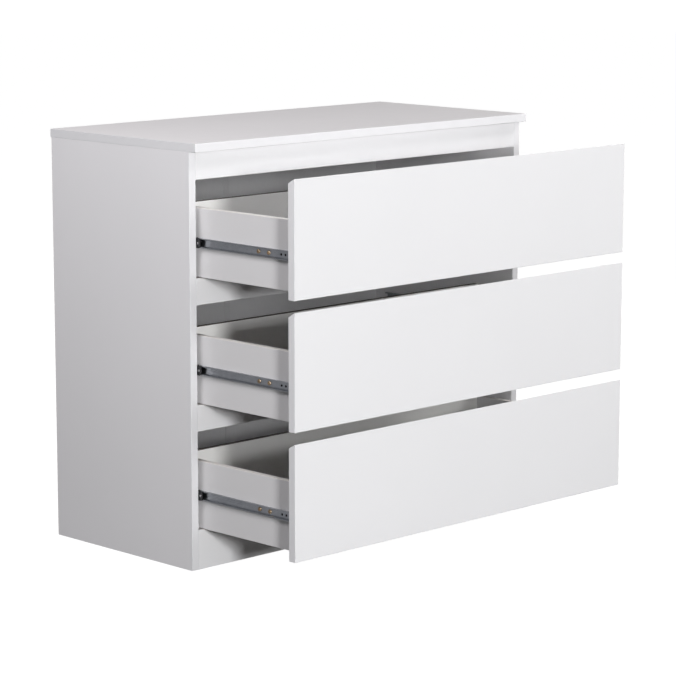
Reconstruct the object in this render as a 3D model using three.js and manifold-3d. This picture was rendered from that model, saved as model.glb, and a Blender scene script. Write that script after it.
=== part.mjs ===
// A chest of three wide drawers in white faced board, with every drawer pulled out to its stop.
// Millimetres. +X is to the right, -Y to the front, +Z up.
// The origin is on the floor, under the middle of the plinth board.

import * as THREE from 'three';
import { mergeVertices } from 'three/addons/utils/BufferGeometryUtils.js';
import Module from 'manifold-3d';

// Carcass
const WIDTH = 900;
const HEIGHT = 800;
const BOARD = 16;
const SIDE_DEPTH = 398;
const FRONT_PLANE = -BOARD / 2;
const TOP_OVERHANG = 18;

// Front rails and plinth, from the top rail down. Each lower one repeats at the drawer pitch.
const DRAWER_COUNT = 3;
const DRAWER_PITCH = 237;
const PLINTH_HEIGHT = 76;
const RAIL_HEIGHT = 50;
const TOP_RAIL_HEIGHT = 52;

// Back: two thin halves nailed over the rear edges, joined by an H-shaped strip
const BACK_THICKNESS = 3;
const BACK_MARGIN = 2;
const STRIP_WIDTH = 14;
const STRIP_WEB = 2;
const STRIP_FLANGE = 1;
const STRIP_CLEARANCE = 2;

// Drawer fronts: overlay boards whose top edge slopes down to the rear, as a finger grip
const FRONT_HEIGHT = 216;
const FRONT_BOTTOM = 67;
const GRIP_DROP = 9;
const FRONT_GAP = 2;

// Drawer boxes
const BOX_BOARD = 12;
const BOX_HEIGHT = 128;
const BOX_LENGTH = 350;
const BOX_RISE = 11;
const BOTTOM_THICKNESS = 3;
const GROOVE_RISE = 10;
const GROOVE_DEPTH = 6;
const GROOVE_HEIGHT = 3.5;
const GROOVE_CLEARANCE = 0.5;

// Ball-bearing slides: a wide channel on the carcass, a narrow one on the drawer, a cage between
const SLIDE_SPACE = 10;
const SLIDE_SETBACK = 10;
const SLIDE_LENGTH = 350;
const SLIDE_STEEL = 1.25;
const CABINET_CHANNEL = { height: 27, depth: 9, lip: 2.5 };
const DRAWER_CHANNEL = { height: 17, depth: 6.5, lip: 0 };
const CAGE_SECTION = { height: 19, depth: 5.75, offset: 1.75, wall: 0.6 };
const CAGE_LENGTH = 60;
const CAGE_OVERHANG = 19;
const TRAVEL = 260;

// Places along a drawer channel, from its front end: two screws and two empty adjusting holes
const SCREW_PLACES = [76, 103];
const EMPTY_HOLES = [33, 44];
const EMPTY_HOLE_RADIUS = 2.25;
const SCREW = { length: 11, radius: 1.75, tip: 2, headRadius: 3.8, headHeight: 2.2, crown: 1 };
const FIT_GAP = 0.3;
const ROUND_SIDES = 12;

const FACED_BOARD = { color: 0xe9e9ec, roughness: 0.42, metalness: 0 };
const THIN_BOARD = { color: 0xd9d9d7, roughness: 0.6, metalness: 0 };
const ZINC = { color: 0xa9adb2, roughness: 0.35, metalness: 0.9 };
const BLACK_PLASTIC = { color: 0x1c1d20, roughness: 0.5, metalness: 0 };
const WHITE_PLASTIC = { color: 0xdcdcda, roughness: 0.5, metalness: 0 };
const YELLOW_ZINC = { color: 0xb08a4e, roughness: 0.35, metalness: 0.9 };

const HALF = WIDTH / 2;
const INNER_HALF = HALF - BOARD;
const BOX_HALF = INNER_HALF - SLIDE_SPACE;
const SIDE_HEIGHT = HEIGHT - BOARD;
const REAR_PLANE = FRONT_PLANE + SIDE_DEPTH;
const BACK_PLANE = REAR_PLANE + BACK_THICKNESS;
const FRONT_REAR_FACE = FRONT_PLANE - FRONT_GAP - TRAVEL;
const HANDS = [['left', -1], ['right', 1]];
const LEVELS = ['bottom', 'middle', 'top'].slice(0, DRAWER_COUNT);

const wasm = await Module();
wasm.setup();

function toManifold(geometry) {
  const bare = geometry.clone();
  bare.deleteAttribute('normal');
  bare.deleteAttribute('uv');
  const merged = mergeVertices(bare);
  return new wasm.Manifold(new wasm.Mesh({
    numProp: 3,
    vertProperties: merged.attributes.position.array,
    triVerts: new Uint32Array(merged.index.array),
  }));
}

// The geometry with the tools' volumes cut out of it
function cut(geometry, tools) {
  const left = tools.reduce((body, tool) => body.subtract(toManifold(tool)), toManifold(geometry));
  const mesh = left.getMesh();
  const result = new THREE.BufferGeometry();
  result.setAttribute('position', new THREE.BufferAttribute(mesh.vertProperties, 3));
  result.setIndex(new THREE.BufferAttribute(mesh.triVerts, 1));
  result.computeVertexNormals();
  return result;
}

function solid(name, geometry, finish, position = [0, 0, 0]) {
  const mesh = new THREE.Mesh(geometry, new THREE.MeshStandardMaterial(finish));
  mesh.name = name;
  mesh.position.set(...position);
  return mesh;
}

// A rectangular board between two limits along each axis
function board(name, [x0, x1], [y0, y1], [z0, z1], finish = FACED_BOARD) {
  const geometry = new THREE.BoxGeometry(x1 - x0, y1 - y0, z1 - z0);
  return solid(name, geometry, finish, [(x0 + x1) / 2, (y0 + y1) / 2, (z0 + z1) / 2]);
}

function extrude(points, length) {
  const outline = new THREE.Shape(points.map(([u, v]) => new THREE.Vector2(u, v)));
  return new THREE.ExtrudeGeometry(outline, { depth: length, bevelEnabled: false });
}

const AXIS_X = new THREE.Vector3(1, 0, 0);
const AXIS_Y = new THREE.Vector3(0, 1, 0);
const AXIS_Z = new THREE.Vector3(0, 0, 1);

// A section drawn in (y, z), running along +X from x = 0
function alongX(points, length) {
  const axes = new THREE.Matrix4().makeBasis(AXIS_Y, AXIS_Z, AXIS_X);
  return extrude(points, length).applyMatrix4(axes);
}

// A section drawn in (x, z), running along +Y from y = 0
function alongY(points, length) {
  const backwards = AXIS_Y.clone().negate();
  const axes = new THREE.Matrix4().makeBasis(AXIS_X, AXIS_Z, backwards);
  return extrude(points, length).applyMatrix4(axes).translate(0, length, 0);
}

// A C-shaped section in (x, z). Its web stands on x = 0 and it opens towards the given hand.
function channelOutline({ height, depth, lip }, wall, hand) {
  const h = height / 2;
  const lower = lip > 0
    ? [[depth, -h], [depth, lip - h], [depth - wall, lip - h], [depth - wall, wall - h]]
    : [[depth, -h], [depth, wall - h]];
  const upper = lower.map(([u, v]) => [u, -v]).reverse();
  const inner = [[wall, wall - h], [wall, h - wall]];
  return [[0, -h], ...lower, ...inner, ...upper, [0, h]].map(([u, v]) => [hand * u, v]);
}

function carcass() {
  const group = new THREE.Group();
  group.add(board('top_panel', [-HALF, HALF],
    [FRONT_PLANE - TOP_OVERHANG, BACK_PLANE + STRIP_FLANGE], [SIDE_HEIGHT, HEIGHT]));
  for (const [side, hand] of HANDS) {
    const x = [hand * INNER_HALF, hand * HALF].sort((a, b) => a - b);
    group.add(board(`side_panel_${side}`, x, [FRONT_PLANE, REAR_PLANE], [0, SIDE_HEIGHT]));
  }

  const between = [-INNER_HALF, INNER_HALF];
  const railDepth = [FRONT_PLANE, FRONT_PLANE + BOARD];
  group.add(board('plinth_front', between, railDepth, [0, PLINTH_HEIGHT]));
  for (let i = 1; i < DRAWER_COUNT; i++) {
    const top = PLINTH_HEIGHT + i * DRAWER_PITCH;
    group.add(board(`front_rail_under_${LEVELS[i]}_drawer`, between, railDepth,
      [top - RAIL_HEIGHT, top]));
  }
  group.add(board('front_rail_under_top_panel', between, railDepth,
    [SIDE_HEIGHT - TOP_RAIL_HEIGHT, SIDE_HEIGHT]));
  group.add(board('plinth_rear', between, [REAR_PLANE - BOARD, REAR_PLANE], [0, PLINTH_HEIGHT]));
  return group;
}

function back() {
  const group = new THREE.Group();
  const z = [BACK_MARGIN, SIDE_HEIGHT];
  for (const [side, hand] of HANDS) {
    const x = [hand * STRIP_WEB / 2, hand * (HALF - BACK_MARGIN)].sort((a, b) => a - b);
    group.add(board(`back_panel_${side}`, x, [REAR_PLANE, BACK_PLANE], z, THIN_BOARD));
  }
  const w = STRIP_WEB / 2;
  const s = STRIP_WIDTH / 2;
  const t = BACK_THICKNESS / 2;
  const f = t + STRIP_FLANGE;
  const quarter = [[w, t], [s, t], [s, f]];
  const rear = [...quarter, ...quarter.map(([x, y]) => [-x, y]).reverse()];
  const front = rear.map(([x, y]) => [-x, -y]);
  const foot = PLINTH_HEIGHT + STRIP_CLEARANCE;
  const strip = extrude([...rear, ...front], SIDE_HEIGHT - foot);
  group.add(solid('back_joint_strip', strip, WHITE_PLASTIC, [0, REAR_PLANE + t, foot]));
  return group;
}

function slideHeight(level) {
  return FRONT_BOTTOM + level * DRAWER_PITCH + BOX_RISE + BOX_HEIGHT / 2;
}

// A hole along X through x = 0, at a distance y from a panel's or channel's front end
function crossHole(radius, reach, y, z = 0) {
  const hole = new THREE.CylinderGeometry(radius, radius, 2 * reach, ROUND_SIDES);
  return hole.rotateZ(Math.PI / 2).translate(0, y, z);
}

// A pan-head screw on the x axis, its head's underside at x = 0 and its head towards the given hand
function screw(hand) {
  const { length, radius, tip, headRadius, headHeight, crown } = SCREW;
  const profile = [
    [0, -length], [radius / 2, -length], [radius, tip - length], [radius, 0],
    [headRadius, 0], [headRadius, headHeight - crown], [headRadius / 2, headHeight], [0, headHeight],
  ].map(([r, h]) => new THREE.Vector2(r, h));
  return new THREE.LatheGeometry(profile, ROUND_SIDES).rotateZ(-hand * Math.PI / 2);
}

// The wide channels screwed to the side panels
function cabinetSlides() {
  const group = new THREE.Group();
  LEVELS.forEach((name, level) => {
    for (const [side, hand] of HANDS) {
      const outline = channelOutline(CABINET_CHANNEL, SLIDE_STEEL, -hand);
      const place = [hand * INNER_HALF, FRONT_PLANE + SLIDE_SETBACK, slideHeight(level)];
      const channel = alongY(outline, SLIDE_LENGTH);
      group.add(solid(`cabinet_slide_${name}_${side}`, channel, ZINC, place));
    }
  });
  return group;
}

// The ball cages ride between the two channels and travel half as far as the drawer
function ballCages(name, level) {
  const group = new THREE.Group();
  for (const [side, hand] of HANDS) {
    const outline = channelOutline({ ...CAGE_SECTION, lip: 0 }, CAGE_SECTION.wall, -hand);
    const x = hand * (INNER_HALF - CAGE_SECTION.offset);
    const y = FRONT_PLANE + SLIDE_SETBACK - CAGE_OVERHANG;
    const cage = alongY(outline, CAGE_LENGTH);
    group.add(solid(`ball_cage_${name}_${side}`, cage, BLACK_PLASTIC, [x, y, slideHeight(level)]));
  }
  return group;
}

// A drawer side has a groove inside, near its lower edge, for the thin bottom
function drawerSideOutline(hand) {
  const inside = BOX_BOARD;
  const floor = GROOVE_RISE;
  const outline = [
    [0, 0], [inside, 0],
    [inside, floor], [inside - GROOVE_DEPTH, floor],
    [inside - GROOVE_DEPTH, floor + GROOVE_HEIGHT], [inside, floor + GROOVE_HEIGHT],
    [inside, BOX_HEIGHT], [0, BOX_HEIGHT],
  ];
  return outline.map(([u, v]) => [-hand * u, v]);
}

function drawer(name, level) {
  const group = new THREE.Group();
  const bottom = FRONT_BOTTOM + level * DRAWER_PITCH;
  const boxBottom = bottom + BOX_RISE;
  const boxRear = FRONT_REAR_FACE + BOX_LENGTH;

  const front = [[0, 0], [BOARD, 0], [BOARD, FRONT_HEIGHT - GRIP_DROP], [0, FRONT_HEIGHT]];
  group.add(solid(`drawer_front_${name}`, alongX(front, WIDTH), FACED_BOARD,
    [-HALF, FRONT_REAR_FACE - BOARD, bottom]));

  const bore = SCREW.radius + FIT_GAP;
  for (const [side, hand] of HANDS) {
    const pilots = SCREW_PLACES.map((y) => crossHole(bore, SCREW.length, y, BOX_HEIGHT / 2));
    const panel = cut(alongY(drawerSideOutline(hand), BOX_LENGTH), pilots);
    group.add(solid(`drawer_side_${name}_${side}`, panel, FACED_BOARD,
      [hand * BOX_HALF, FRONT_REAR_FACE, boxBottom]));

    const section = channelOutline(DRAWER_CHANNEL, SLIDE_STEEL, hand);
    const holes = [
      ...SCREW_PLACES.map((y) => crossHole(bore, DRAWER_CHANNEL.depth, y)),
      ...EMPTY_HOLES.map((y) => crossHole(EMPTY_HOLE_RADIUS, DRAWER_CHANNEL.depth, y)),
    ];
    group.add(solid(`drawer_slide_${name}_${side}`, cut(alongY(section, SLIDE_LENGTH), holes), ZINC,
      [hand * BOX_HALF, FRONT_REAR_FACE, slideHeight(level)]));

    SCREW_PLACES.forEach((y, i) => {
      const seat = hand * (BOX_HALF + SLIDE_STEEL + FIT_GAP);
      group.add(solid(`slide_screw_${name}_${side}_${i + 1}`, screw(hand), YELLOW_ZINC,
        [seat, FRONT_REAR_FACE + y, slideHeight(level)]));
    });
  }

  const inner = BOX_HALF - BOX_BOARD;
  const grooved = inner + GROOVE_DEPTH - GROOVE_CLEARANCE;
  const floor = boxBottom + GROOVE_RISE;
  group.add(board(`drawer_bottom_${name}`, [-grooved, grooved], [FRONT_REAR_FACE, boxRear],
    [floor, floor + BOTTOM_THICKNESS], THIN_BOARD));
  group.add(board(`drawer_back_${name}`, [-inner, inner], [boxRear - BOX_BOARD, boxRear],
    [floor + BOTTOM_THICKNESS, boxBottom + BOX_HEIGHT]));
  return group;
}

const chest = new THREE.Group();
chest.add(carcass(), back(), cabinetSlides());
LEVELS.forEach((name, level) => chest.add(drawer(name, level), ballCages(name, level)));

export default chest;
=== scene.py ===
"""The looks of the chest of drawers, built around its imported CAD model.

Metres, +Z up, -Y to the front. A "hand" is a side of the chest, with the sign of its X."""

import math
import random

import bmesh
import bpy
from mathutils import Matrix, Vector


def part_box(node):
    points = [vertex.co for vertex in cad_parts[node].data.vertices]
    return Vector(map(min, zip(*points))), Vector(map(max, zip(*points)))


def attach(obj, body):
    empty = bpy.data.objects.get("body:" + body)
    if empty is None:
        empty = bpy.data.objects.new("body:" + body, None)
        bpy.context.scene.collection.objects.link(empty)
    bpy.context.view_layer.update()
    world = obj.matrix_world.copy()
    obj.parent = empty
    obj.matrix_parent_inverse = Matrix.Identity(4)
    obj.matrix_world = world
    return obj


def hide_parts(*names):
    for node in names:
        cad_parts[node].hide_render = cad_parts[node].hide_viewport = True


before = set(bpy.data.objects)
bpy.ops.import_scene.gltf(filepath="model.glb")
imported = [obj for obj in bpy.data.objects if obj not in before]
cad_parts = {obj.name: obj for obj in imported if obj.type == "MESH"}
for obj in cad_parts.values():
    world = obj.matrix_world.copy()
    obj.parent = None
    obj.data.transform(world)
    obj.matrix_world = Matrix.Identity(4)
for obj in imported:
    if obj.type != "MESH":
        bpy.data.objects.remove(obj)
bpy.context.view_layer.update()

MM = 0.001
LEVELS = ("bottom", "middle", "top")
HANDS = (("left", -1), ("right", 1))
RANDOM = random.Random(11)

TAPE = 0.8 * MM  # how thick edge tape is
TAPE_ROUND = 0.6 * MM  # the rounding of its outer edges
CORE_EASE = 0.12 * MM  # the rounding of a board's own edges
PLATE = 1.2 * MM  # the sheet metal of the slides
HOLE = 2.4 * MM  # the radius of the holes in a drawer's slide

# Distances in mm from the front end of a slide
SPARE_HOLES = (33, 44)  # in a drawer's slide, drilled on into the drawer side
SCREW_HOLES = (21, 149, 277)  # in a cabinet slide, each with a screw
SLOTTED_HOLES = (60, 190, 310)  # in a cabinet slide, left empty

SAME = 1e-6  # places closer together than this count as one
FACING = 0.9  # a face looks a certain way from this cosine on

# The colour sockets of a Mix node
MIX_FIRST, MIX_SECOND, MIX_RESULT = 6, 7, 2


# Camera, stage and lights


def direction(azimuth, elevation):
    """The unit vector towards a viewer at that azimuth and elevation. Azimuth 0 stands in front."""
    a, e = math.radians(azimuth), math.radians(elevation)
    return Vector((math.sin(a) * math.cos(e), -math.cos(a) * math.cos(e), math.sin(e)))


def make_camera(azimuth, elevation, distance, aim, lens):
    """The photograph's camera, which looks at a point from a direction."""
    camera = bpy.data.objects.new("camera", bpy.data.cameras.new("camera"))
    bpy.context.scene.collection.objects.link(camera)
    camera.data.lens = lens
    camera.data.sensor_width = 36
    camera.data.clip_end = 60
    towards = direction(azimuth, elevation)
    camera.location = Vector(aim) + towards * distance
    camera.rotation_euler = (-towards).to_track_quat("-Z", "Y").to_euler()
    bpy.context.scene.camera = camera


def make_softbox(name, azimuth, elevation, distance, size, power, colour):
    """A rectangular light that shines on the middle of the chest from a direction."""
    data = bpy.data.lights.new(name, "AREA")
    data.shape = "RECTANGLE"
    data.size, data.size_y = size
    data.energy = power
    data.color = colour
    light = bpy.data.objects.new(name, data)
    bpy.context.scene.collection.objects.link(light)
    middle = Vector((0, 0, 0.4))
    towards = direction(azimuth, elevation)
    light.location = middle + towards * distance
    light.rotation_euler = (-towards).to_track_quat("-Z", "Y").to_euler()


def make_world(upper, lower, reflected):
    """A dim room, with a tone above the horizon and one below it, and brighter in reflections."""
    world = bpy.data.worlds.new("studio")
    bpy.context.scene.world = world
    world.use_nodes = True
    nodes, links = world.node_tree.nodes, world.node_tree.links
    nodes.clear()
    place = nodes.new("ShaderNodeTexCoord")
    split = nodes.new("ShaderNodeSeparateXYZ")
    ramp = nodes.new("ShaderNodeValToRGB")
    shade = nodes.new("ShaderNodeBackground")
    out = nodes.new("ShaderNodeOutputWorld")
    height = nodes.new("ShaderNodeMapRange")
    path = nodes.new("ShaderNodeLightPath")
    walls = nodes.new("ShaderNodeMix")
    walls.data_type = "RGBA"
    walls.inputs[MIX_SECOND].default_value = (*reflected, 1)
    horizon = 0.25
    height.inputs["From Min"].default_value = -horizon
    height.inputs["From Max"].default_value = horizon
    ramp.color_ramp.elements[0].color = (*lower, 1)
    ramp.color_ramp.elements[1].color = (*upper, 1)
    links.new(place.outputs["Generated"], split.inputs[0])
    links.new(split.outputs["Z"], height.inputs["Value"])
    links.new(height.outputs[0], ramp.inputs[0])
    links.new(ramp.outputs[0], walls.inputs[MIX_FIRST])
    links.new(path.outputs["Is Glossy Ray"], walls.inputs[0])
    links.new(walls.outputs[MIX_RESULT], shade.inputs["Color"])
    links.new(shade.outputs[0], out.inputs["Surface"])


def stage_material(name, albedo, glow):
    """A matt grey of the studio that may glow by itself."""
    material = bpy.data.materials.new(name)
    material.use_nodes = True
    shader = material.node_tree.nodes["Principled BSDF"]
    shader.inputs["Base Color"].default_value = (albedo, albedo, albedo, 1)
    shader.inputs["Roughness"].default_value = 0.9
    shader.inputs["Specular IOR Level"].default_value = 0
    shader.inputs["Emission Color"].default_value = (1, 1, 1, 1)
    shader.inputs["Emission Strength"].default_value = glow
    return material


def stage_object(name, bm, material, rays):
    """A piece of the studio that only the named kinds of ray meet."""
    mesh = bpy.data.meshes.new(name)
    bm.to_mesh(mesh)
    bm.free()
    mesh.materials.append(material)
    obj = bpy.data.objects.new(name, mesh)
    bpy.context.scene.collection.objects.link(obj)
    for ray in ("camera", "diffuse", "glossy", "transmission", "shadow"):
        setattr(obj, f"visible_{ray}", ray in rays)


def make_stage():
    """A pale floor and backdrop for the camera, and a grey floor that only gives light back."""
    plane = bmesh.new()
    bmesh.ops.create_grid(plane, x_segments=1, y_segments=1, size=14)
    stage_object("floor", plane, stage_material("pale_floor", 0.1, 1), ("camera",))

    plane = bmesh.new()
    bmesh.ops.create_grid(plane, x_segments=1, y_segments=1, size=6)
    bmesh.ops.translate(plane, verts=plane.verts, vec=(0, 0, -0.002))
    grey = stage_material("grey_floor", 0.15, 0.05)
    stage_object("floor_bounce", plane, grey, ("diffuse", "shadow"))

    stage_object("backdrop", sphere(20, 24), stage_material("white_backdrop", 0, 1.1), ("camera",))


# Materials


class Look:
    """A material under construction: its Principled shader and short ways to feed it."""

    def __init__(self, name, roughness=0.5, metallic=0.0):
        self.material = bpy.data.materials.new(name)
        self.material.use_nodes = True
        self.tree = self.material.node_tree
        self.shader = self.tree.nodes["Principled BSDF"]
        self.shader.inputs["Roughness"].default_value = roughness
        self.shader.inputs["Metallic"].default_value = metallic
        self.place = self.tree.nodes.new("ShaderNodeTexCoord").outputs["Object"]

    def node(self, kind):
        return self.tree.nodes.new(kind)

    def link(self, source, target):
        self.tree.links.new(source, target)

    def stretched(self, scale):
        """The object's own coordinates, stretched by a scale for each axis."""
        mapping = self.node("ShaderNodeMapping")
        mapping.inputs["Scale"].default_value = scale
        self.link(self.place, mapping.inputs["Vector"])
        return mapping.outputs[0]

    def noise(self, scale, detail, rough=0.5, place=None):
        """A cloudy value from 0 to 1, with most of it between 0.3 and 0.7."""
        made = self.node("ShaderNodeTexNoise")
        made.inputs["Scale"].default_value = scale
        made.inputs["Detail"].default_value = detail
        made.inputs["Roughness"].default_value = rough
        self.link(place or self.place, made.inputs["Vector"])
        return made.outputs["Fac"]

    def cells(self, scale, place=None):
        """A colour for each cell of a Voronoi pattern."""
        made = self.node("ShaderNodeTexVoronoi")
        made.inputs["Scale"].default_value = scale
        self.link(place or self.place, made.inputs["Vector"])
        return made.outputs["Color"]

    def spread(self, value, low, high, start=0.3, end=0.7):
        """Maps a noise value between start and end to the range from low to high."""
        made = self.node("ShaderNodeMapRange")
        ends = {"From Min": start, "From Max": end, "To Min": low, "To Max": high}
        for key, number in ends.items():
            made.inputs[key].default_value = number
        self.link(value, made.inputs["Value"])
        return made.outputs[0]

    def mix(self, factor, first, second):
        """A colour between two, each given as numbers or as another node's output."""
        made = self.node("ShaderNodeMix")
        made.data_type = "RGBA"
        self.link(factor, made.inputs[0])
        for socket, colour in ((MIX_FIRST, first), (MIX_SECOND, second)):
            if isinstance(colour, tuple):
                made.inputs[socket].default_value = (*colour, 1)
            else:
                self.link(colour, made.inputs[socket])
        return made.outputs[MIX_RESULT]

    def colour(self, source):
        self.link(source, self.shader.inputs["Base Color"])

    def roughness(self, source):
        self.link(source, self.shader.inputs["Roughness"])

    def bump(self, height, depth, strength):
        """Raises the surface by height, which runs from 0 to 1, times depth in metres."""
        made = self.node("ShaderNodeBump")
        made.inputs["Strength"].default_value = strength
        made.inputs["Distance"].default_value = depth
        self.link(height, made.inputs["Height"])
        self.link(made.outputs[0], self.shader.inputs["Normal"])


def shaded(colour, factor):
    """A colour made darker or lighter by a factor."""
    return tuple(c * factor for c in colour)


def melamine(name, colour, gloss=0.42):
    """White faced board: a satin film with a fine pearl texture over a slightly cloudy white."""
    look = Look(name)
    clouds = look.spread(look.noise(5, 4), 0, 1)
    specks = look.spread(look.noise(420, 2), 0, 1)
    cloudy = look.mix(clouds, shaded(colour, 0.985), colour)
    look.colour(look.mix(look.spread(specks, 0, 0.35, 0, 1), cloudy, shaded(colour, 0.97)))
    look.roughness(look.spread(look.noise(38, 5), gloss - 0.05, gloss + 0.06))
    look.bump(look.noise(1500, 3, 0.6), 0.00003, 0.5)
    return look.material


def edge_tape(name, colour, axis):
    """Plastic edge tape: a little glossier than the boards, with fine lines along an axis."""
    look = Look(name)
    scale = [900, 900, 900]
    scale["xyz".index(axis)] = 12
    lines = look.noise(1, 3, 0.5, look.stretched(scale))
    look.colour(look.mix(look.spread(look.noise(14, 3), 0, 1), shaded(colour, 0.97), colour))
    look.roughness(look.spread(lines, 0.3, 0.42))
    look.bump(lines, 0.00003, 0.4)
    return look.material


def raw_chipboard(name, shade=1.0):
    """The bare edge of a particle board: pressed chips in tan and brown, with small open pores.
    shade scales all its tones; far below 1 it is painted shade for the inside of a hole.
    """
    look = Look(name, 0.85)
    chips = look.cells(380, look.stretched((1, 1, 1.6)))
    tone = look.node("ShaderNodeSeparateColor")
    look.link(chips, tone.inputs[0])
    woods = ((0.42, 0.27, 0.15), (0.66, 0.5, 0.33), (0.2, 0.12, 0.07))
    dark, light, pore = [shaded(wood, shade) for wood in woods]
    pressed = look.mix(look.spread(tone.outputs[0], 0, 1, 0, 1), dark, light)
    pores = look.spread(look.noise(700, 4, 0.7), 0, 1, 0.55, 0.62)
    look.colour(look.mix(pores, pressed, pore))
    look.roughness(look.spread(tone.outputs[1], 0.75, 0.95, 0, 1))
    look.bump(look.noise(620, 5, 0.7), 0.0003, 0.8)
    return look.material


def raw_fibreboard(name, colour):
    """The bare side of fibreboard: smooth, with darker fibres and a faint pressing screen."""
    look = Look(name, 0.62)
    fibres = look.noise(1, 5, 0.65, look.stretched((260, 260, 90)))
    patches = look.noise(9, 4)
    patchy = look.mix(look.spread(patches, 0, 1), shaded(colour, 0.8), colour)
    look.colour(look.mix(look.spread(fibres, 0, 0.7, 0.5, 0.75), patchy, shaded(colour, 0.45)))
    look.roughness(look.spread(fibres, 0.5, 0.72))
    look.bump(look.cells(520), 0.00006, 0.35)
    return look.material


def lacquered_fibreboard(name, colour):
    """The lacquered side of thin fibreboard: matt, with the fibres just showing through."""
    look = Look(name, 0.55)
    fibres = look.noise(1, 4, 0.6, look.stretched((210, 210, 70)))
    look.colour(look.mix(look.spread(fibres, 0, 0.5), colour, shaded(colour, 0.95)))
    look.roughness(look.spread(look.noise(55, 4), 0.48, 0.62))
    look.bump(fibres, 0.00005, 0.4)
    return look.material


def zinc_plate():
    """Cold-rolled steel with zinc: rolling lines along the slide and cloudy, bluish plating."""
    look = Look("zinc_plate", 0.22, 1.0)
    lines = look.noise(1, 4, 0.6, look.stretched((1400, 14, 1400)))
    clouds = look.spread(look.noise(60, 4, 0.6), 0, 1)
    plating = look.mix(clouds, (0.36, 0.375, 0.4), (0.47, 0.485, 0.51))
    look.colour(look.mix(look.spread(lines, 0, 0.5), plating, (0.31, 0.32, 0.34)))
    look.roughness(look.spread(lines, 0.25, 0.36))
    look.bump(lines, 0.00001, 0.5)
    return look.material


def yellow_zinc():
    """Yellow-passivated screws: coppery brass with faint green tints."""
    look = Look("yellow_zinc", 0.3, 1.0)
    tint = look.spread(look.noise(500, 3), 0, 1)
    gold = look.mix(tint, (0.42, 0.29, 0.19), (0.54, 0.39, 0.27))
    look.colour(look.mix(look.spread(look.noise(900, 2), 0, 0.5), gold, (0.39, 0.37, 0.24)))
    look.roughness(look.spread(look.noise(1300, 3), 0.22, 0.4))
    look.bump(look.noise(1800, 2), 0.00003, 0.4)
    return look.material


def cast_zinc():
    """Die-cast zinc of the cam locks: dull grey with a grainy skin."""
    look = Look("cast_zinc", 0.5, 1.0)
    grain = look.noise(900, 4, 0.6)
    look.colour(look.mix(look.spread(grain, 0, 1), (0.36, 0.36, 0.37), (0.48, 0.48, 0.49)))
    look.roughness(look.spread(grain, 0.42, 0.6))
    look.bump(grain, 0.00008, 0.6)
    return look.material


def polished_steel():
    """Bearing balls and rivets: bright steel with the finest of scratches."""
    look = Look("polished_steel", 0.12, 1.0)
    scratches = look.noise(1600, 3, 0.7)
    look.colour(look.mix(look.spread(scratches, 0, 1), (0.6, 0.6, 0.61), (0.7, 0.7, 0.71)))
    look.roughness(look.spread(scratches, 0.08, 0.2))
    look.bump(scratches, 0.00001, 0.3)
    return look.material


def moulded_plastic(name, dark, light, rough):
    """Moulded plastic with a fine spark-eroded grain."""
    look = Look(name, rough)
    grain = look.noise(1200, 3, 0.6)
    look.colour(look.mix(look.spread(look.noise(90, 3), 0, 1), dark, light))
    look.roughness(look.spread(grain, rough - 0.08, rough + 0.08))
    look.bump(grain, 0.00004, 0.5)
    return look.material


# Solids


def round_edges(bm, edges, radius, steps):
    bmesh.ops.bevel(bm, geom=edges, offset=radius, segments=steps, profile=0.5, affect="EDGES")


def edges_in_plane(bm, axis, place):
    """The edges that lie where the coordinate on an axis, 0 for X, has a certain value."""
    return [e for e in bm.edges if all(abs(v.co[axis] - place) < SAME for v in e.verts)]


def edges_along(bm, axis):
    """The edges of a prism that run along its axis, 0 for X."""
    return [e for e in bm.edges if abs(e.verts[0].co[axis] - e.verts[1].co[axis]) > SAME]


def rounded_box(lo, hi, radius, steps=2):
    """A box whose every edge is rounded."""
    bm = bmesh.new()
    bmesh.ops.create_cube(bm, size=1)
    for v in bm.verts:
        v.co = Vector([lo[i] if v.co[i] < 0 else hi[i] for i in range(3)])
    if radius > 0:
        round_edges(bm, bm.edges[:], radius, steps)
    return bm


# Turns an outline drawn in X and Y, and its length along Z, to the axis of that name
AXES = {
    "x": Matrix(((0, 0, 1, 0), (1, 0, 0, 0), (0, 1, 0, 0), (0, 0, 0, 1))),
    "y": Matrix(((1, 0, 0, 0), (0, 0, 1, 0), (0, 1, 0, 0), (0, 0, 0, 1))),
    "z": Matrix.Identity(4),
}


def prism(outline, axis, start, end):
    """An outline in the two axes across the named one, running from start to end."""
    bm = bmesh.new()
    rings = [[bm.verts.new((u, v, w)) for u, v in outline] for w in (start, end)]
    count = len(outline)
    for i in range(count):
        j = (i + 1) % count
        bm.faces.new((rings[0][i], rings[0][j], rings[1][j], rings[1][i]))
    bm.faces.new(rings[0])
    bm.faces.new(rings[1])
    bm.transform(AXES[axis])
    bmesh.ops.recalc_face_normals(bm, faces=bm.faces[:])
    return bm


def lathe(profile, steps=32):
    """A solid of revolution round Z. Its (radius, height) profile starts and ends on the axis."""
    bm = bmesh.new()
    rings = []
    for radius, height in profile:
        if radius == 0:
            rings.append([bm.verts.new((0, 0, height))])
            continue
        angles = [2 * math.pi * i / steps for i in range(steps)]
        ring = [(radius * math.cos(t), radius * math.sin(t), height) for t in angles]
        rings.append([bm.verts.new(point) for point in ring])
    for low, high in zip(rings, rings[1:]):
        for i in range(steps):
            j = (i + 1) % steps
            turns = ((low, i), (low, j), (high, j), (high, i))
            corners = [ring[k % len(ring)] for ring, k in turns]
            bm.faces.new(list(dict.fromkeys(corners)))
    bmesh.ops.recalc_face_normals(bm, faces=bm.faces[:])
    return bm


def sphere(radius, rings):
    """A ball round the origin, with twice as many steps round Z as from pole to pole."""
    turns = [math.pi * i / rings for i in range(1, rings)]
    arc = [(radius * math.sin(t), -radius * math.cos(t)) for t in turns]
    return lathe([(0, -radius), *arc, (0, radius)], 2 * rings)


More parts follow.
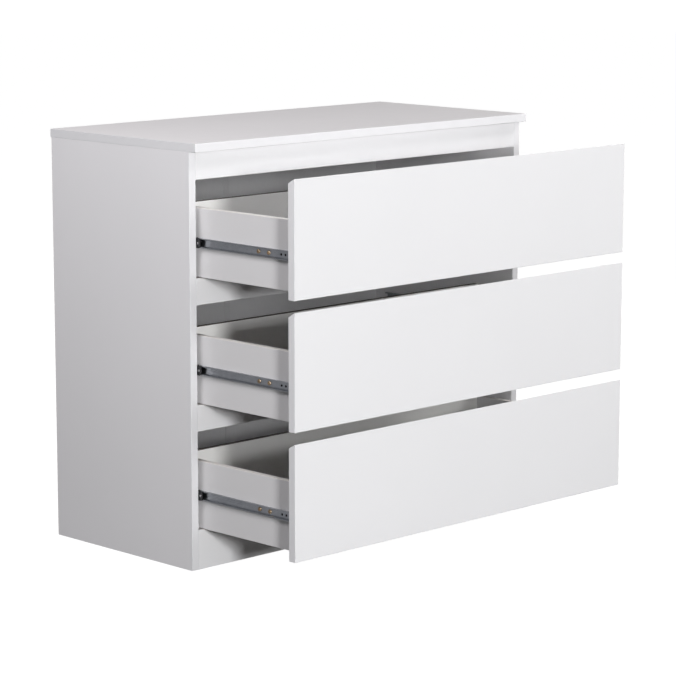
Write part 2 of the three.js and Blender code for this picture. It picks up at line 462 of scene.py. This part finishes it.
def mesh_from(bm, name):
    """A mesh made of bm, which is used up."""
    mesh = bpy.data.meshes.new(name)
    bm.to_mesh(mesh)
    bm.free()
    return mesh


def cut_away(bm, tools):
    """bm with the tools' volumes cut out of it, and without the slivers that this leaves."""
    objects = []
    for part in (bm, *tools):
        obj = bpy.data.objects.new("cutting", mesh_from(part, "cutting"))
        bpy.context.scene.collection.objects.link(obj)
        objects.append(obj)
    body = objects[0]
    for tool in objects[1:]:
        cutter = body.modifiers.new("cut", "BOOLEAN")
        cutter.operation = "DIFFERENCE"
        cutter.solver = "EXACT"
        cutter.object = tool
    done = body.evaluated_get(bpy.context.evaluated_depsgraph_get())
    result = bmesh.new()
    result.from_mesh(done.to_mesh())
    sliver = 0.005 * MM
    bmesh.ops.remove_doubles(result, verts=result.verts[:], dist=sliver)
    bmesh.ops.dissolve_degenerate(result, edges=result.edges[:], dist=sliver)
    for obj in objects:
        mesh = obj.data
        bpy.data.objects.remove(obj)
        bpy.data.meshes.remove(mesh)
    return result


class Piece:
    """One named piece of the object: closed solids, each with a material, joined in one mesh."""

    def __init__(self, name):
        self.name = name
        self.bm = bmesh.new()
        self.materials = []

    def index(self, material):
        if material not in self.materials:
            self.materials.append(material)
        return self.materials.index(material)

    def add(self, bm, material, special=None):
        """Adds a solid. special(face) may name another material for some of its faces."""
        for face in bm.faces:
            chosen = special(face) if special else None
            face.material_index = self.index(chosen or material)
        part = mesh_from(bm, "part")
        self.bm.from_mesh(part)
        bpy.data.meshes.remove(part)
        return self

    def finish(self, body, slot, replaces=(), sharp=40):
        """Makes the object. Edges stay sharp from that many degrees on."""
        mesh = mesh_from(self.bm, self.name)
        for material in self.materials:
            mesh.materials.append(material)
        mesh.shade_smooth()
        mesh.set_sharp_from_angle(angle=math.radians(sharp))
        obj = bpy.data.objects.new(self.name, mesh)
        bpy.context.scene.collection.objects.link(obj)
        even = obj.modifiers.new("even_normals", "WEIGHTED_NORMAL")
        even.keep_sharp = True
        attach(obj, body)
        if replaces:
            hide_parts(*replaces)


# Boards


def edge_mark(mark):
    """The axis, 0 for X, and the sign that a mark such as -y stands for."""
    return "xyz".index(mark[1]), 1 if mark[0] == "+" else -1


def outward(mark):
    """The direction that a mark such as -y stands for."""
    axis, sign = edge_mark(mark)
    normal = Vector((0, 0, 0))
    normal[axis] = sign
    return normal


def tape_strip(lo, hi, axis, sign):
    """A strip of edge tape: its outer edges are rounded, its glued side is square."""
    bm = rounded_box(lo, hi, 0)
    outer = hi[axis] if sign > 0 else lo[axis]
    round_edges(bm, edges_in_plane(bm, axis, outer), TAPE_ROUND, 3)
    return bm


def faced_board(node, body, slot, taped, bare, face, tapes, raw):
    """A faced board in place of a CAD board. taped and bare list its edges, as in "-y +x"."""
    lo, hi = (list(corner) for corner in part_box(node))
    sizes = [hi[i] - lo[i] for i in range(3)]
    piece = Piece(f"{node}_faced")
    for mark in taped.split():
        axis, sign = edge_mark(mark)
        strip_lo, strip_hi = list(lo), list(hi)
        if sign > 0:
            hi[axis] -= TAPE
            strip_lo[axis] = hi[axis]
        else:
            lo[axis] += TAPE
            strip_hi[axis] = lo[axis]
        run = max((i for i in range(3) if i != axis), key=lambda i: sizes[i])
        piece.add(tape_strip(strip_lo, strip_hi, axis, sign), tapes["xyz"[run]])

    directions = [outward(mark) for mark in bare.split()]

    def raw_edge(f):
        return raw if any(f.normal @ towards > FACING for towards in directions) else None

    piece.add(rounded_box(lo, hi, CORE_EASE), face, raw_edge)
    piece.finish(body, slot, [node])


def fibre_panel(node, body, slot, white_side, white, brown):
    """Thin fibreboard: white lacquer on one side, bare brown on the other side and the edges."""
    lo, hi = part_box(node)
    towards = Vector(white_side)
    piece = Piece(f"{node}_panel")

    def lacquered(f):
        return white if f.normal @ towards > FACING else None

    piece.add(rounded_box(lo, hi, 0.2 * MM, 1), brown, lacquered)
    piece.finish(body, slot, [node])


def drawer_front(level, body, face, tape):
    """The overlay front: a wrapped board with a sloping grip edge, and tape on its two ends."""
    node = f"drawer_front_{level}"
    lo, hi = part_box(node)
    heights = [v.co.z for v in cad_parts[node].data.vertices]
    rear_top = min(z for z in heights if z > (lo.z + hi.z) / 2)
    outline = [(lo.y, lo.z), (hi.y, lo.z), (hi.y, rear_top), (lo.y, hi.z)]
    piece = Piece(f"{node}_faced")
    core = prism(outline, "x", lo.x + TAPE, hi.x - TAPE)
    round_edges(core, edges_along(core, 0), 0.9 * MM, 3)
    piece.add(core, face)
    for start, end, outer in ((lo.x, lo.x + TAPE, lo.x), (hi.x - TAPE, hi.x, hi.x)):
        strip = prism(outline, "x", start, end)
        rim = edges_in_plane(strip, 0, outer)
        round_edges(strip, rim + edges_along(strip, 0), TAPE_ROUND, 3)
        piece.add(strip, tape)
    piece.finish(body, "front_board", [node])


def drawer_side(level, hand, sign, body, face, tape, raw, hole_shade):
    """A drawer side with its groove for the bottom, its drilled holes, and tape on its top edge."""
    node = f"drawer_side_{level}_{hand}"
    lo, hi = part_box(node)
    bottom_lo, bottom_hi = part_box(f"drawer_bottom_{level}")
    outer, inner = (lo.x, hi.x) if sign < 0 else (hi.x, lo.x)
    play = 0.5 * MM
    groove = bottom_lo.x - play if sign < 0 else bottom_hi.x + play
    floor, ceiling = bottom_lo.z, bottom_hi.z + play
    top = hi.z - TAPE
    outline = [(outer, lo.z), (inner, lo.z), (inner, floor), (groove, floor), (groove, ceiling),
               (inner, ceiling), (inner, top), (outer, top)]
    piece = Piece(f"{node}_faced")
    slide_lo, slide_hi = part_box(f"drawer_slide_{level}_{hand}")
    height = (slide_lo.z + slide_hi.z) / 2
    tools = [cross_hole(outer, lo.y + y * MM, height, HOLE, reach=10 * MM) for y in SPARE_HOLES]
    core = cut_away(prism(outline, "y", lo.y, hi.y), tools)
    least_board_face = 100 * MM ** 2

    # the holes' walls and ends get the near-black chipboard: painted shade of the deep holes
    def raw_edge(f):
        hole_wall = abs(f.normal.x) < 0.1 and abs(f.calc_center_median().z - height) < 2 * HOLE
        hole_end = abs(f.normal.x) > FACING and f.calc_area() < least_board_face
        if hole_wall or hole_end:
            return hole_shade
        return raw if abs(f.normal.y) > FACING or f.normal.z < -FACING else None

    piece.add(core, face, raw_edge)
    piece.add(tape_strip((lo.x, lo.y, top), tuple(hi), 2, 1), tape)
    piece.finish(body, "drawer_board", [node])


# Slides


def bent_strip(path, thickness, radius):
    """The outline of sheet metal that follows a path, with rounded bends, as one closed loop."""
    steps = 5
    points = [Vector(p) for p in path]
    line = [points[0]]
    for before, corner, after in zip(points, points[1:], points[2:]):
        back, ahead = (before - corner), (after - corner)
        reach = min(radius, back.length * 0.45, ahead.length * 0.45)
        start, end = corner + back.normalized() * reach, corner + ahead.normalized() * reach
        for i in range(steps + 1):
            t = i / steps
            line.append(start * (1 - t) ** 2 + corner * 2 * t * (1 - t) + end * t ** 2)
    line.append(points[-1])
    sides = ([], [])
    for i, point in enumerate(line):
        run = (line[min(i + 1, len(line) - 1)] - line[max(i - 1, 0)]).normalized()
        normal = Vector((-run.y, run.x)) * thickness / 2
        sides[0].append(point + normal)
        sides[1].append(point - normal)
    return sides[0] + sides[1][::-1]


def channel(path, wall, away, centre, start, end):
    """Sheet metal along Y that follows a path of (distance from the wall, height)."""
    outline = bent_strip(path, PLATE, 1.6 * MM)
    placed = [(wall + away * p.x, centre + p.y) for p in outline]
    return prism(placed, "y", start, end)


def cross_hole(x, y, z, radius, slot=0.0, reach=4 * MM):
    """A cutting tool along X that reaches to both sides of x. slot stretches it along Y."""
    count = 24
    outline = []
    for i in range(count):
        turn = 2 * math.pi * i / count
        along = radius * math.cos(turn) + math.copysign(slot / 2, math.cos(turn))
        outline.append((y + along, z + radius * math.sin(turn)))
    return prism(outline, "x", x - reach, x + reach)


def drawer_slide(level, hand, sign, body, steel):
    """The narrow channel on a drawer side: ball grooves in its flanges, holes in its web."""
    node = f"drawer_slide_{level}_{hand}"
    lo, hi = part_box(node)
    wall, away = (hi.x, -1) if sign < 0 else (lo.x, 1)
    centre, half, depth = (lo.z + hi.z) / 2, (hi.z - lo.z) / 2, hi.x - lo.x
    web, crest = PLATE / 2, half - PLATE / 2
    groove = crest - 0.7 * MM
    flange = [(depth - 0.3 * MM, crest), (depth - 1.4 * MM, crest), (depth - 2.2 * MM, groove),
              (depth - 3.4 * MM, groove), (depth - 4.2 * MM, crest)]
    path = [(u, -v) for u, v in flange] + [(web, -crest), (web, crest)] + flange[::-1]
    bar = channel(path, wall, away, centre, lo.y, hi.y)
    tools = [cross_hole(wall, lo.y + y * MM, centre, HOLE) for y in SPARE_HOLES]
    tools.append(cross_hole(wall, hi.y - 14 * MM, centre, HOLE, 4 * MM))
    piece = Piece(f"{node}_channel").add(cut_away(bar, tools), steel)
    piece.finish(body, "zinc_steel", [node], sharp=50)


def cabinet_slide(level, hand, sign, body, steel):
    """The wide channel on a side panel, with lips that hold the balls, and stops at its ends."""
    node = f"cabinet_slide_{level}_{hand}"
    lo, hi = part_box(node)
    wall, away = (lo.x, 1) if sign < 0 else (hi.x, -1)
    centre, half, depth = (lo.z + hi.z) / 2, (hi.z - lo.z) / 2, hi.x - lo.x
    web, crest, rim = PLATE / 2, half - PLATE / 2, depth - PLATE / 2
    flange = [(rim, crest - 1.9 * MM), (rim - 0.4 * MM, crest), (rim - 3.6 * MM, crest)]
    path = [(u, -v) for u, v in flange] + [(web, -crest), (web, crest)] + flange[::-1]
    bar = channel(path, wall, away, centre, lo.y, hi.y)
    radius, slot = 2.2 * MM, 5 * MM
    tools = [cross_hole(wall, lo.y + y * MM, centre, radius) for y in SCREW_HOLES]
    tools += [cross_hole(wall, lo.y + y * MM, centre, radius, slot) for y in SLOTTED_HOLES]
    piece = Piece(f"{node}_channel").add(cut_away(bar, tools), steel)
    inside = sorted((wall + away * PLATE, wall + away * 2.6 * MM))
    for y in (lo.y + 6 * MM, hi.y - 8 * MM):
        for z in (centre - 9 * MM, centre + 9 * MM):
            stop_lo = (inside[0], y, z - 1.5 * MM)
            stop_hi = (inside[1], y + PLATE, z + 1.5 * MM)
            piece.add(rounded_box(stop_lo, stop_hi, 0.2 * MM), steel)
    piece.finish(body, "zinc_steel", [node], sharp=50)


def nosed_strip(lo_y, hi_y, half, radius):
    """The outline of a strip along Y whose low end has two round corners, as (y, height)."""
    outline = [(hi_y, -half), (hi_y, half)]
    steps = 8
    for middle, first in ((half - radius, 90), (radius - half, 180)):
        for step in range(steps + 1):
            t = math.radians(first + step * 90 / steps)
            outline.append((lo_y + radius + radius * math.cos(t), middle + radius * math.sin(t)))
    return outline


def ball_at(place):
    """A bearing ball."""
    ball = sphere(1.5 * MM, 8)
    ball.transform(Matrix.Translation(place))
    return ball


def rivet_at(place, sign):
    """The head of a rivet that stands out along X, to the side of that sign."""
    profile = [(0, 0), (2.1, 0), (2.0, 0.35), (1.2, 0.75), (0, 0.9)]
    rivet = lathe([(r * MM, h * MM) for r, h in profile], 24)
    turn = Matrix.Rotation(math.radians(90 * sign), 4, "Y")
    rivet.transform(Matrix.Translation(place) @ turn)
    return rivet


def ball_cage(level, hand, sign, body, plastic, steel):
    """The cage between the channels: a moulded strip with a rounded nose, a rivet and its balls."""
    node = f"ball_cage_{level}_{hand}"
    lo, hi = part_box(node)
    wall, away = (lo.x, 1) if sign < 0 else (hi.x, -1)
    centre, half, depth = (lo.z + hi.z) / 2, (hi.z - lo.z) / 2, hi.x - lo.x - 0.3 * MM
    thick, nose = 0.9 * MM, 11 * MM
    crest = half - thick / 2

    outline = [(y, centre + v) for y, v in nosed_strip(lo.y, hi.y, half, 6 * MM)]
    web = sorted((wall, wall + away * thick))
    piece = Piece(f"{node}_strip").add(prism(outline, "x", *web), plastic)

    rail = sorted((wall + away * thick, wall + away * depth))
    for height in (centre - crest, centre + crest):
        rail_lo = (rail[0], lo.y + nose, height - thick / 2)
        rail_hi = (rail[1], hi.y - 1 * MM, height + thick / 2)
        piece.add(rounded_box(rail_lo, rail_hi, 0.2 * MM), plastic)
        for i in range(7):
            y = lo.y + nose + (5 + 6 * i) * MM
            piece.add(ball_at((wall + away * 3.9 * MM, y, height)), steel)

    piece.add(rivet_at((wall, lo.y + 6 * MM, centre), sign), steel)
    piece.finish(body, "cage_plastic", [node])


# Fasteners


def cross_cut(bm, reach, half_width, low, high, turns):
    """bm with two crossed slots in its head, between two heights, turned by those degrees."""
    tools = []
    for turn in turns:
        bar = rounded_box((-reach, -half_width, low), (reach, half_width, high), 0)
        bar.transform(Matrix.Rotation(math.radians(turn), 4, "Z"))
        tools.append(bar)
    return cut_away(bm, tools)


def pan_head_screw():
    """A pan-head screw with a cross recess, standing on z = 0 with its head up."""
    profile = [(0, -11), (0.9, -11), (1.7, -9.2), (1.7, -0.4), (2.0, 0), (4.2, 0), (4.3, 0.5),
               (3.9, 1.3), (2.8, 1.9), (1.4, 2.2), (0, 2.2)]
    body = lathe([(r * MM, h * MM) for r, h in profile])
    cut = cross_cut(body, 2.3 * MM, 0.5 * MM, 0.9 * MM, 4 * MM, (0, 90))
    return mesh_from(cut, "pan_head_screw")


def cam_lock(radius):
    """The visible face of a cam lock: a flat disc with a cross slot, standing 0.3 mm proud."""
    profile = [(0, -8), (radius - 0.2, -8), (radius, -7.8), (radius, -0.1), (radius - 0.4, 0.3),
               (0, 0.3)]
    body = lathe([(r * MM, h * MM) for r, h in profile])
    cut = cross_cut(body, radius * 0.62 * MM, 0.8 * MM, -1.6 * MM, 2 * MM, (45, 135))
    return mesh_from(cut, "cam_lock")


def nail():
    """A flat-head nail, its head 0.6 mm proud."""
    profile = [(0, -12), (0.7, -10.5), (0.7, 0), (2.3, 0), (2.5, 0.2), (2.1, 0.5), (0, 0.6)]
    return mesh_from(lathe([(r * MM, h * MM) for r, h in profile], 16), "nail")


def fasteners(name, mesh, places, body, slot, material, replaces=()):
    """Copies of one fastener as a piece. A place is a point and the direction its head faces."""
    piece = Piece(name)
    for point, facing in places:
        bm = bmesh.new()
        bm.from_mesh(mesh)
        spin = Matrix.Rotation(RANDOM.uniform(0, math.pi), 4, "Z")
        turn = Vector(facing).to_track_quat("Z", "Y").to_matrix().to_4x4()
        bm.transform(Matrix.Translation(point) @ turn @ spin)
        piece.add(bm, material)
    piece.finish(body, slot, replaces)


# Materials of the object

carcass_face = melamine("carcass_melamine", (0.87, 0.863, 0.872))
front_face = melamine("front_melamine", (0.84, 0.84, 0.846))
# darker and warmer than the other whites: painted shade of the light on the top
top_shaded_face = melamine("top_melamine_painted_shade", (0.79, 0.775, 0.777), 0.6)
# darker than the carcass white: painted shade on the drawer sides
drawer_shaded_face = melamine("drawer_melamine_painted_shade", (0.755, 0.748, 0.75), 0.46)
# lighter and warmer: painted light on the drawer backs' inner faces
drawer_back_lit_face = melamine("drawer_back_melamine_painted_light", (0.86, 0.855, 0.83), 0.46)
tapes = {axis: edge_tape(f"edge_tape_{axis}", (0.81, 0.81, 0.82), axis) for axis in "xyz"}
cream_tape = edge_tape("cream_edge_tape", (0.86, 0.83, 0.8), "y")
chipboard = raw_chipboard("raw_chipboard")
# near black: painted shade on the walls and ends of the drilled holes
shaded_hole_walls = raw_chipboard("drilled_chipboard_painted_shade", 0.05)
brown_fibre = raw_fibreboard("brown_fibreboard", (0.3, 0.17, 0.085))
# dark grey-brown for the drawer backs' bare edges: darker than bare chipboard, painted shade along
# their top edges
shaded_dark_fibre = raw_fibreboard("dark_fibreboard_painted_shade", (0.17, 0.14, 0.12))
olive_fibre = raw_fibreboard("olive_fibreboard", (0.16, 0.125, 0.08))
white_fibre = lacquered_fibreboard("white_fibreboard", (0.81, 0.81, 0.815))
steel = zinc_plate()
gold_steel = yellow_zinc()
cam_metal = cast_zinc()
bright_steel = polished_steel()
black_plastic = moulded_plastic("black_plastic", (0.01, 0.01, 0.011), (0.018, 0.018, 0.02), 0.45)
white_plastic = moulded_plastic("white_plastic", (0.74, 0.74, 0.745), (0.79, 0.79, 0.795), 0.5)

# Fasteners of the object

screw_mesh = pan_head_screw()
big_cam_mesh = cam_lock(7.5)
small_cam_mesh = cam_lock(6)
nail_mesh = nail()


# The object


def make_carcass():
    """The boards and the back. Each board has its taped edges, its bare edges and its face."""
    boards = {
        "top_panel": ("-y -x +x", "+y", top_shaded_face),
        "side_panel_left": ("-y", "+y -z", carcass_face),
        "side_panel_right": ("-y", "+y -z", carcass_face),
        "front_rail_under_top_panel": ("-z", "", front_face),
        "front_rail_under_top_drawer": ("-z +z", "", front_face),
        "front_rail_under_middle_drawer": ("-z +z", "", front_face),
        "plinth_front": ("+z", "-z", front_face),
        "plinth_rear": ("+z", "-z", carcass_face),
    }
    for node, (taped, bare, face) in boards.items():
        faced_board(node, "carcass", "carcass_board", taped, bare, face, tapes, chipboard)
    inward = (0, -1, 0)
    for hand, _ in HANDS:
        node = f"back_panel_{hand}"
        fibre_panel(node, "carcass", "back_board", inward, white_fibre, brown_fibre)
    make_joint_strip()


def make_joint_strip():
    """The H-shaped strip that joins the two halves of the back."""
    lo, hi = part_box("back_joint_strip")
    flange = 1 * MM
    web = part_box("back_panel_right")[0].x
    inner, outer = lo.y + flange, hi.y - flange
    outline = [(lo.x, lo.y), (hi.x, lo.y), (hi.x, inner), (web, inner), (web, outer), (hi.x, outer),
               (hi.x, hi.y), (lo.x, hi.y), (lo.x, outer), (-web, outer), (-web, inner),
               (lo.x, inner)]
    bm = prism(outline, "z", lo.z, hi.z)
    rim = [e for e in edges_along(bm, 2) if abs(abs(e.verts[0].co.x) - hi.x) < SAME]
    round_edges(bm, rim, 0.35 * MM, 2)
    piece = Piece("back_joint_strip_profile").add(bm, white_plastic)
    piece.finish("carcass", "white_plastic", ["back_joint_strip"])


def make_carcass_cams():
    """Cam locks: two high up in each side panel, one at each end of each rail and plinth."""
    rails = (("front_rail_under_top_panel", 1), ("front_rail_under_top_drawer", 1),
             ("front_rail_under_middle_drawer", 1), ("plinth_front", 1), ("plinth_rear", -1))
    inset = 34 * MM
    cams = []
    for hand, sign in HANDS:
        lo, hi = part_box(f"side_panel_{hand}")
        inner = hi.x if sign < 0 else lo.x
        for y in (lo.y + 60 * MM, hi.y - 60 * MM):
            cams.append((Vector((inner, y, hi.z - inset)), (-sign, 0, 0)))
        for rail, side in rails:
            rail_lo, rail_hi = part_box(rail)
            face = rail_hi.y if side > 0 else rail_lo.y
            place = Vector((inner - sign * inset, face, (rail_lo.z + rail_hi.z) / 2))
            cams.append((place, (0, side, 0)))
    fasteners("carcass_cam_locks", big_cam_mesh, cams, "carcass", "cam_casting", cam_metal)


def make_cabinet_slide_screws():
    screws = []
    for level in LEVELS:
        for hand, sign in HANDS:
            lo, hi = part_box(f"cabinet_slide_{level}_{hand}")
            web = lo.x + PLATE if sign < 0 else hi.x - PLATE
            for y in SCREW_HOLES:
                place = Vector((web, lo.y + y * MM, (lo.z + hi.z) / 2))
                screws.append((place, (-sign, 0, 0)))
    fasteners("cabinet_slide_screws", screw_mesh, screws, "carcass", "yellow_zinc", gold_steel)


def make_back_nails():
    """Nails in each half of the back: a column into the side panel and a row into the plinth."""
    nails = []
    column, row = 8, 5
    end = 20 * MM
    for hand, sign in HANDS:
        lo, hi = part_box(f"back_panel_{hand}")
        outer = (lo.x if sign < 0 else hi.x) - sign * 6 * MM
        inner = hi.x if sign < 0 else lo.x
        for i in range(column):
            z = lo.z + end + i * (hi.z - lo.z - 2 * end) / (column - 1)
            nails.append((Vector((outer, hi.y, z)), (0, 1, 0)))
        for i in range(row):
            x = outer + (inner - outer) * (i + 0.6) / (row + 0.4)
            nails.append((Vector((x, hi.y, lo.z + 36 * MM)), (0, 1, 0)))
    fasteners("back_panel_nails", nail_mesh, nails, "carcass", "zinc_steel", steel)


def slide_screws(level, hand, sign, outer):
    """The nodes of one slide's screws on a drawer side, and where its heads go."""
    nodes = [f"slide_screw_{level}_{hand}_{i}" for i in (1, 2)]
    places = []
    for node in nodes:
        lo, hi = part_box(node)
        middle = (lo + hi) / 2
        places.append((Vector((outer + sign * 1.3 * MM, middle.y, middle.z)), (sign, 0, 0)))
    return nodes, places


def make_drawer_boards(level, body):
    drawer_front(level, body, front_face, tapes["z"])
    # the back's bare top and bottom edges are dark: painted shade along its top edge
    faced_board(f"drawer_back_{level}", body, "drawer_board", "", "+z -z", drawer_back_lit_face, tapes,
                shaded_dark_fibre)
    upward = (0, 0, 1)
    fibre_panel(f"drawer_bottom_{level}", body, "drawer_bottom_board", upward, white_fibre,
                olive_fibre)


def make_drawer(level):
    """A drawer with its slides, the cam locks of its front and the screws of its back."""
    body = f"drawer_{level}"
    make_drawer_boards(level, body)
    screws, nodes, cams, back_screws = [], [], [], []
    for hand, sign in HANDS:
        drawer_side(level, hand, sign, body, drawer_shaded_face, cream_tape, chipboard, shaded_hole_walls)
        drawer_slide(level, hand, sign, body, steel)
        lo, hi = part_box(f"drawer_side_{level}_{hand}")
        inner, outer = (hi.x, lo.x) if sign < 0 else (lo.x, hi.x)
        slide_nodes, slide_places = slide_screws(level, hand, sign, outer)
        nodes += slide_nodes
        screws += slide_places
        for part in (0.25, 0.8):
            z = lo.z + part * (hi.z - lo.z)
            cams.append((Vector((inner, lo.y + 24 * MM, z)), (-sign, 0, 0)))
            sunk = outer - sign * 0.8 * MM
            back_screws.append((Vector((sunk, hi.y - 6 * MM, z)), (sign, 0, 0)))
    yellow = (body, "yellow_zinc", gold_steel)
    fasteners(f"slide_screws_{level}", screw_mesh, screws, *yellow, nodes)
    fasteners(f"drawer_cam_locks_{level}", small_cam_mesh, cams, body, "cam_casting", cam_metal)
    fasteners(f"drawer_back_screws_{level}", screw_mesh, back_screws, *yellow)


def make_cages(level):
    for hand, sign in HANDS:
        ball_cage(level, hand, sign, f"ball_cages_{level}", black_plastic, bright_steel)


def make_chest():
    make_carcass()
    make_carcass_cams()
    make_cabinet_slide_screws()
    make_back_nails()
    for level in LEVELS:
        make_drawer(level)
        make_cages(level)
        for hand, sign in HANDS:
            cabinet_slide(level, hand, sign, "carcass", steel)


make_camera(azimuth=-44.44, elevation=9.77, distance=5.227, aim=(-0.0623, 0, 0.3939), lens=143.34)
make_world(upper=(0.01, 0.01, 0.01), lower=(0.05, 0.05, 0.05), reflected=(0.36, 0.36, 0.375))
make_softbox("key", -27, 10, 5, (0.6, 0.8), 160, (1, 1, 1.01))
make_softbox("front_fill", 42, 13, 5, (1.2, 1.2), 50, (1, 1, 1.01))
make_softbox("left_top", -87, 47, 2.5, (1, 1), 27, (1, 0.98, 1.01))
make_softbox("right_top", 62, 45, 4, (1, 1), 73, (1, 0.98, 0.98))
make_softbox("back", 180, 12, 4, (1.5, 1.5), 55, (1, 1, 1))
make_stage()
bpy.context.scene.view_settings.view_transform = "Standard"
make_chest()
